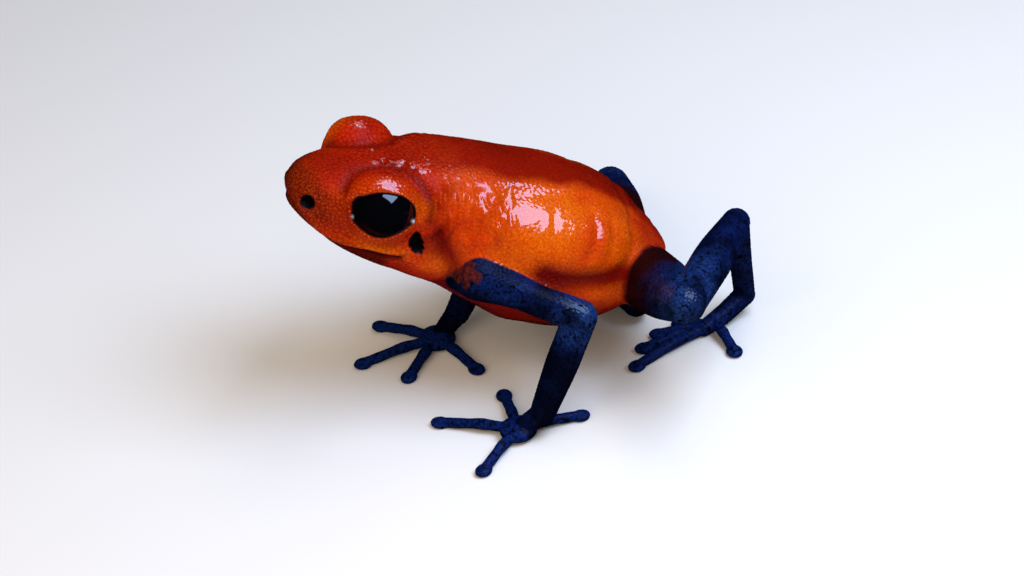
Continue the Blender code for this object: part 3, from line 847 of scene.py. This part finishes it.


# Dark red back and orange flanks, with painted shade in deep red in the creases, under the throat and lower
# jaw, and low on the belly
def trunkMasks():
    stations, reach = np.array(backEdge).T
    edge = smoothThrough(stations, reach, np.clip(ahead, 0, 22)) + 0.3 * (left < 0)
    back = step(-0.6, 0.5, edge - body[:, 1] + 0.9 * wobble) * step(0.0, 1.2, up)
    back *= (1 - 0.5 * step(13.5, 16.5, ahead + 2 * wobble)) * (1 - 0.85 * lid)
    rear = 1 - step(3.2, 5.6, ahead + 2 * wobble)
    warm = (1 - 0.55 * step(8.6, 13.4, ahead + wobble)) * (1 - 0.85 * step(13.5, 16, ahead + wobble))
    warm = warm * (1 - 0.8 * rear) + 0.65 * lid + lipBand * (0.35 + 0.65 * bell(ahead - 17.3, 1.0))
    # the orange at the cheek below the eye is partly painted light, lifting the shade there
    warm += bell(bulgeGap, 1.0) + 0.7 * bell(jawGap, 0.9) + 0.45 * bell(gapTo("cheek"), 0.9)
    # painted shade: darker red low on the body and under the throat, in the lid creases, neck and flank
    # folds, and under the lower jaw
    throat = 1.1 * stretch(ahead, 13.2, 14.4, 16.0, 17.0)
    paintedShade = 0.95 * (1 - step(-2.6 - throat, -1.2 - throat, up + 0.6 * wobble))
    for name, share, width in (("lidCrease", 0.8, 0.30), ("neck", 1.1, 0.55), ("flank", 1.15, 0.68)):
        paintedShade += share * bell(foldGaps[name], width)
    paintedShade += 0.7 * (mouthBelow > 0) * (1 - step(1.0, 1.6, mouthGap)) * step(16.2, 17.2, ahead)
    paintedShade = np.clip(paintedShade, 0, 1) * (1 - 0.9 * bell(bulgeGap, 0.9)) * (1 - 0.8 * bell(jawGap, 0.9))
    return {"back": back, "warm": np.clip(warm, 0, 1), "paintedShade": paintedShade}


# Snout partly brown and partly painted shade, eardrum stain, painted shade on the lower lip, mouth line and
# nostrils, black ears and eye rims, pale lid beads partly painted highlight, painted glints at the eye
# corners
def headMasks():
    # the snout darker brown, partly its own colour and partly painted shade on its lower sides and front
    snout = step(18.4, 20.8, ahead + wobble) * (1 - step(0.3, 1.1, up + wobble))
    snout = np.maximum(snout, step(20.6, 21.8, ahead + wobble))
    lowerLip = (mouthBelow > 0) * (1 - step(0.2, 0.8, mouthGap)) * step(16.2, 17.0, ahead)
    # black along the mouth line and in the nostrils: painted shade in the groove and pits
    dark = bell(mouthGap, 0.17) * (1 - 0.7 * step(18.9, 20.2, ahead))
    dark += 1.2 * (1 - step(0.30, 0.42, nostrilGap)) + 1 - step(0.03, 0.12, opening + 0.1 * wobble)
    dark += 1.2 * (1 - step(0.94, 1.06, earGap + 0.22 * (0.6 - groove) + 0.2 * wobble))
    return {
        "snout": snout * (1 - 0.7 * lipBand) * (1 - 0.7 * lid),
        # a stain on the eardrum, and painted shade on the lower lip under the mouth
        "stainAndShade": np.maximum(0.28 * (1 - step(0.35, 0.85, drumGap + 0.5 * wobble)), 0.5 * lowerLip),
        "dark": np.clip(dark, 0, 1),
        # pale beads on the granule tops along the lids' edges, partly painted highlight
        "beadAndGlint": 0.45 * bell(opening - 0.14, 0.07) * (1 - step(0.2, 0.7, groove)),
        "cornerGlint": cornerGlint,
    }


# Blue limbs, dark red by the hip, a rusty patch at the shoulder, painted shade that darkens the forearms, and
# a painted sheen of lighter blue on the elbows and knees
def limbMasks():
    limb = np.where(onLeg, step(0.0, 0.8, nearer + wobble), step(-0.08, 0.08, nearer + 0.1 * wobble))
    thighRun = np.where(onLeg & ~onDigit, limbRun, 99) + 1.2 * wobble + 1.6 * (left < 0)
    rustGap = gapTo("rust") + 1.2 * wobble + 0.5 * softNoise(points, 0.28, 43)
    # painted sheen of lighter blue round the elbows and knees; the same mask also wets the coat there
    joint = np.where(onLeg, bell(limbRun - bends["leg"] - 1.2, 2.4), bell(limbRun - bends["arm"], 1.1))
    return {
        "limb": np.maximum(limb, 1 - step(0.95, 1.05, gapTo("shoulder") + 0.15 * wobble)),
        "digit": 1.0 * onDigit,
        "hip": (1 - step(4.4, 6.6, thighRun)) * step(-0.1, 0.7, nearer + wobble),
        "rust": 1 - step(0.80, 0.98, rustGap),
        # painted shade: the forearms darker blue
        "forearm": np.where(onLeg | onDigit, 0, step(0.8, 2.2, limbRun - bends["arm"])),
        "joint": joint * ~onDigit * step(0.1, 0.6, overTrunk),
    }


# Shade between the granules, and the places that stay dry
def surfaceMasks():
    dry = 2.5 * bell(foldGaps["lidCrease"], 0.75) + 0.55 * bell(ahead - 15.0, 0.8) * (up > 0.3)
    dry = dry * (1 - bell(browGap, 0.4)) + bell(earGap - 1.2, 0.4)
    dry += bell(nearer, 1.8) * onLeg * (limbRun < 6) + 0.5 * stretch(ahead, 11.6, 12.4, 14.0, 15.0)
    return {
        "pit": step(0.5, 1.0, groove) * clear * (0.35 + 0.65 * step(13.5, 16.5, ahead) * onTrunk),
        "dry": step(0.35, 0.65, dry + 0.45 * softNoise(body, 0.18, 31)),
    }


skinMesh.vertices.foreach_set("co", (points * mm).ravel())
for masks in (trunkMasks(), headMasks(), limbMasks(), surfaceMasks()):
    for name, values in masks.items():
        layer = skinMesh.attributes.new(name, "FLOAT", "POINT")
        layer.data.foreach_set("value", values.astype(np.float32))
skinMesh.shade_smooth()
skinMesh.update()
print("masks painted")


# Materials

def newMaterial(name, settings):
    material = bpy.data.materials.new(name)
    material.use_nodes = True
    shader = material.node_tree.nodes["Principled BSDF"]
    for key, value in settings.items():
        shader.inputs[key].default_value = value
    return material, material.node_tree, shader


def addNode(tree, kind, inputs=(), **settings):
    made = tree.nodes.new("ShaderNode" + kind)
    for key, value in settings.items():
        setattr(made, key, value)
    for key, value in dict(inputs).items():
        if isinstance(value, bpy.types.NodeSocket):
            tree.links.new(value, made.inputs[key])
        else:
            made.inputs[key].default_value = value
    return made


def maskOf(tree, name):
    return addNode(tree, "Attribute", attribute_name=name).outputs["Fac"]


def blendColour(tree, share, first, second, mode="MIX"):
    made = addNode(tree, "Mix", data_type="RGBA", blend_type=mode, clamp_factor=True)
    for slot, value in ((0, share), (6, first), (7, second)):
        if isinstance(value, bpy.types.NodeSocket):
            tree.links.new(value, made.inputs[slot])
        else:
            made.inputs[slot].default_value = value if slot == 0 else (*value, 1.0)
    return made.outputs[2]


# The value from start to end becomes low to high
def ramp(tree, value, start, end, low=0.0, high=1.0):
    ends = {"Value": value, "From Min": start, "From Max": end, "To Min": low, "To Max": high}
    return addNode(tree, "MapRange", ends).outputs["Result"]


def combined(tree, mode, first, second):
    return addNode(tree, "Math", {0: first, 1: second}, operation=mode).outputs[0]


finish = {
    "red": (0.52, 0.012, 0.001),
    "redDeep": (0.38, 0.006, 0.001),
    "orange": (0.78, 0.112, 0.001),
    "orangeDeep": (0.66, 0.045, 0.001),
    "back": (0.29, 0.007, 0.001),
    # painted shade in the creases and low on the body
    "paintedShade": (0.19, 0.004, 0.001),
    # the snout's own brown, partly painted shade
    "snout": (0.20, 0.010, 0.002),
    "snoutSpeck": (0.38, 0.030, 0.002),
    # stain on the eardrum, and painted shade on the lower lip
    "stainAndShade": (0.050, 0.004, 0.002),
    "hip": (0.014, 0.0012, 0.0012),
    "rust": (0.100, 0.010, 0.005),
    "rustDark": (0.030, 0.004, 0.006),
    "blue": (0.0008, 0.0025, 0.017),
    "blueLight": (0.0035, 0.014, 0.090),
    "blueDark": (0.0006, 0.0008, 0.003),
    # painted sheen on the elbows and knees
    "paintedBlueSheen": (0.011, 0.034, 0.125),
    "dark": (0.001, 0.001, 0.0015),
    # pale beads on the lids' edges, partly painted highlight
    "beadAndGlint": (0.85, 0.26, 0.05),
    # painted glint at the eye corners
    "cornerGlint": (0.55, 0.50, 0.46),
    "iris": (0.026, 0.002, 0.001),
    "poreShade": ((0.80, 0.70, 0.70), (1.0, 1.0, 1.0)),        # these two multiply the reds
    "grainShade": ((0.86, 0.78, 0.78), (1.10, 1.35, 1.1)),
    # painted shade on the forearms, as a share of the darkest blue
    "forearmShade": 0.60,
    "pitShade": 0.40,
    "rough": (0.34, 0.55),   # of the red skin, and of the limbs and black marks
    "limbWet": 0.03,
    "jointWet": 0.40,
}
surface = {
    "Specular IOR Level": 0.04,
    "Coat Roughness": 0.06,
    "Coat IOR": 1.48,
    "Subsurface Weight": 0.08,
    "Subsurface Scale": 0.0005,
    "Subsurface Radius": (1.0, 0.25, 0.1),
}
texture = {
    "cloud": {"Scale": 700.0, "Detail": 3.0},
    "fleck": {"Scale": 3600.0, "Detail": 2.0},
    "wash": {"Scale": 260.0, "Detail": 4.0},
    "pore": {"Scale": 6500.0},
    "fine": {"Scale": 11000.0},
    "bump": {"Strength": 0.5, "Distance": 0.00005},
}

skinLook, tree, shader = newMaterial("moistSkin", surface)
here = {"Vector": addNode(tree, "TexCoord").outputs["Object"]}
cloud, fleck, wash = (addNode(tree, "TexNoise", here | texture[name]).outputs["Fac"]
                      for name in ("cloud", "fleck", "wash"))
pore, fine = (addNode(tree, "TexVoronoi", here | texture[name]).outputs["Distance"]
              for name in ("pore", "fine"))
speck = ramp(tree, pore, 1.0, 0.25)

# Red, orange and brown, with painted shade in deep red, and in brown on the snout
colour = blendColour(tree, ramp(tree, cloud, 0.38, 0.62), finish["redDeep"], finish["red"])
orange = blendColour(tree, ramp(tree, wash, 0.40, 0.60), finish["orangeDeep"], finish["orange"])
grains = blendColour(tree, ramp(tree, fine, 0.70, 0.20), finish["snout"], finish["snoutSpeck"])
for name, tint in (("warm", orange), ("back", finish["back"]), ("paintedShade", finish["paintedShade"]), ("snout", grains)):
    colour = blendColour(tree, maskOf(tree, name), colour, tint)
# the pore pattern, which also shapes the bump, darkens the reds in its grooves as painted shade; the finer
# grain is the skin's own
for share, shades in ((speck, "poreShade"), (ramp(tree, fine, 0.60, 0.15), "grainShade")):
    colour = blendColour(tree, 1.0, colour, blendColour(tree, share, *finish[shades]), "MULTIPLY")

# Blue, and rust at the shoulder
blue = blendColour(tree, ramp(tree, cloud, 0.40, 0.72), finish["blue"], finish["blueLight"])
blue = blendColour(tree, maskOf(tree, "digit"), blue, finish["blueLight"])
# painted sheen: lighter blue on the elbows and knees
paintedSheen = combined(tree, "MULTIPLY", maskOf(tree, "joint"), ramp(tree, cloud, 0.34, 0.60))
blue = blendColour(tree, paintedSheen, blue, finish["paintedBlueSheen"])
# painted shade: the forearms darker blue
shaded = combined(tree, "MULTIPLY", maskOf(tree, "forearm"), finish["forearmShade"])
blue = blendColour(tree, shaded, blue, finish["blueDark"])
# painted shade: darker blue in the grooves of the pore pattern that shapes the bump
blue = blendColour(tree, speck, finish["blueDark"], blue)
blue = blendColour(tree, ramp(tree, fleck, 0.60, 0.66), blue, finish["blueDark"])
rust = blendColour(tree, ramp(tree, fleck, 0.40, 0.62), finish["rust"], finish["rustDark"])
blue = blendColour(tree, maskOf(tree, "rust"), blue, rust)
colour = blendColour(tree, maskOf(tree, "limb"), colour, blue)

# Marks over both, among them painted shade, a painted highlight on the lid beads and painted glints at the
# eye corners, and shade between the granules
for name in ("stainAndShade", "hip", "beadAndGlint", "dark", "cornerGlint"):
    colour = blendColour(tree, maskOf(tree, name), colour, finish[name])
shade = combined(tree, "MULTIPLY", maskOf(tree, "pit"), finish["pitShade"])
colour = blendColour(tree, shade, colour, (0.0, 0.0, 0.0), "MULTIPLY")
tree.links.new(colour, shader.inputs["Base Color"])

# Wet coat, thinner on the limbs and none on dry places
dull = combined(tree, "MAXIMUM", maskOf(tree, "dark"), maskOf(tree, "limb"))
tree.links.new(ramp(tree, dull, 0.0, 1.0, *finish["rough"]), shader.inputs["Roughness"])
wet = ramp(tree, maskOf(tree, "limb"), 0.0, 1.0, 1.0, finish["limbWet"])
shine = combined(tree, "MULTIPLY", maskOf(tree, "joint"), finish["jointWet"])
wet = combined(tree, "MAXIMUM", wet, shine)
for name in ("dark", "dry"):
    wet = combined(tree, "MULTIPLY", wet, ramp(tree, maskOf(tree, name), 0.0, 1.0, 1.0, 0.0))
tree.links.new(wet, shader.inputs["Coat Weight"])
bump = addNode(tree, "Bump", {"Height": pore} | texture["bump"])
bump.invert = True
tree.links.new(bump.outputs["Normal"], shader.inputs["Normal"])
skinMesh.materials.clear()
skinMesh.materials.append(skinLook)

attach(frog, "root")
fleshNodes = ["head", "torso"] + [f"{part}_{side}" for side in ("left", "right") for part in (
    "upper_arm", "forearm", "hand", "thigh", "shank", "tarsus", "foot")]
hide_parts(*fleshNodes)

# Eyes
iris = {
    "radius": 0.97,          # of its faint rim
    "width": 0.09,
    "stretch": 1.35,         # how much longer than high
    "fade": (-1.15, -0.65),  # heights over which it ends, from the eye's middle
}
eyeLook, tree, shader = newMaterial("darkEye", {"Roughness": 0.06, "IOR": 1.45})
eyeColour = blendColour(tree, maskOf(tree, "iris"), finish["dark"], finish["iris"])
tree.links.new(eyeColour, shader.inputs["Base Color"])
for side in ("left", "right"):
    middle, rearWay, upWay, outWay = eyeFrame(side)
    form = bmesh.new()
    bmesh.ops.create_uvsphere(form, u_segments=96, v_segments=64, radius=eye["ball"])
    seat = Matrix.Scale(mm, 4) @ Matrix.Translation(Vector(middle))
    bmesh.ops.transform(form, matrix=seat, verts=form.verts)
    mesh = bpy.data.meshes.new(side + "Eye")
    form.to_mesh(mesh)
    form.free()
    mesh.shade_smooth()
    spots = np.array([v.co for v in mesh.vertices]) / mm - middle
    aside = np.hypot(spots @ rearWay / iris["stretch"], spots @ upWay)
    low = (1 - step(*iris["fade"], spots @ upWay)) * (spots @ outWay > 0)
    layer = mesh.attributes.new("iris", "FLOAT", "POINT")
    layer.data.foreach_set("value", (low * bell(aside - iris["radius"], iris["width"])).astype(np.float32))
    mesh.materials.append(eyeLook)
    globe = meshObject(side + "Eye", mesh)
    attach(globe, "root")
    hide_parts("eye_" + side)
print("eyes set")


# Camera, floor and light

def wayTo(azimuth, elevation):
    a, e = math.radians(azimuth), math.radians(elevation)
    return Vector((math.sin(a) * math.cos(e), -math.cos(a) * math.cos(e), math.sin(e)))


view = {
    "azimuth": 74.98,
    "elevation": 34.14,
    "roll": -4.70,
    "pixelsPerMm": 19.93,
    "distance": 200.0,
    "target": (0.92, -9.12, 4.72),
    "frameWidth": 1024,
    "sensor": 36.0,
}
back = wayTo(view["azimuth"], view["elevation"])
right = Vector((0, 0, 1)).cross(back).normalized()
top = back.cross(right)
roll = math.radians(view["roll"])
right, top = right * math.cos(roll) + top * math.sin(roll), top * math.cos(roll) - right * math.sin(roll)
lens = bpy.data.cameras.new("camera")
lens.sensor_width = view["sensor"]
lens.lens = view["sensor"] * view["distance"] * view["pixelsPerMm"] / view["frameWidth"]
lens.clip_start = 0.01
lens.clip_end = 10.0
camera = bpy.data.objects.new("camera", lens)
bpy.context.scene.collection.objects.link(camera)
spot = (Vector(view["target"]) + Vector(shift) + back * view["distance"]) * mm
camera.matrix_world = Matrix.Translation(spot) @ Matrix((right, top, back)).transposed().to_4x4()
bpy.context.scene.camera = camera

room = {
    "floor": (0.84, 0.72, 0.59, 1.0),
    "floorSize": 3.0,
    "sky": (0.80, 0.86, 0.95, 1.0),
    "skyStrength": 0.18,
    "lampDistance": 0.12,
    "lampHeight": 0.008,     # of the place that the lamps face
}
lamps = {
    # azimuth, elevation, width, depth, watts, colour
    "key": (139, 58, 0.085, 0.085, 0.27, (0.46, 0.64, 1.0)),
    "top": (215, 66, 0.06, 0.05, 0.022, (1.0, 1.0, 1.0)),
    "fill": (52, 36, 0.12, 0.10, 0.10, (1.0, 0.93, 0.84)),
}

floorLook, tree, shader = newMaterial("paleFloor", {"Roughness": 0.6, "Base Color": room["floor"]})
bpy.ops.mesh.primitive_plane_add(size=room["floorSize"], location=(0, 0, 0))
floor = bpy.context.object
floor.name = "floor"
floor.data.materials.append(floorLook)

world = bpy.data.worlds.new("studio")
world.use_nodes = True
sky = world.node_tree.nodes["Background"]
sky.inputs["Color"].default_value = room["sky"]
sky.inputs["Strength"].default_value = room["skyStrength"]
world.cycles_visibility.glossy = False
floor.visible_glossy = False
bpy.context.scene.world = world


def softbox(name):
    azimuth, elevation, width, depth, watts, colour = lamps[name]
    way = wayTo(azimuth, elevation)
    lamp = bpy.data.lights.new(name, "AREA")
    lamp.shape = "RECTANGLE"
    lamp.size = width
    lamp.size_y = depth
    lamp.energy = watts
    lamp.color = colour
    holder = bpy.data.objects.new(name, lamp)
    holder.location = way * room["lampDistance"] + Vector((0, 0, room["lampHeight"]))
    holder.rotation_mode = "QUATERNION"
    holder.rotation_quaternion = way.to_track_quat("Z", "Y")
    bpy.context.scene.collection.objects.link(holder)
    return holder


softbox("key")
softbox("top")
softbox("fill").visible_glossy = False       # only the other two glint
bpy.context.scene.view_settings.view_transform = "Standard"
print("stage lit")
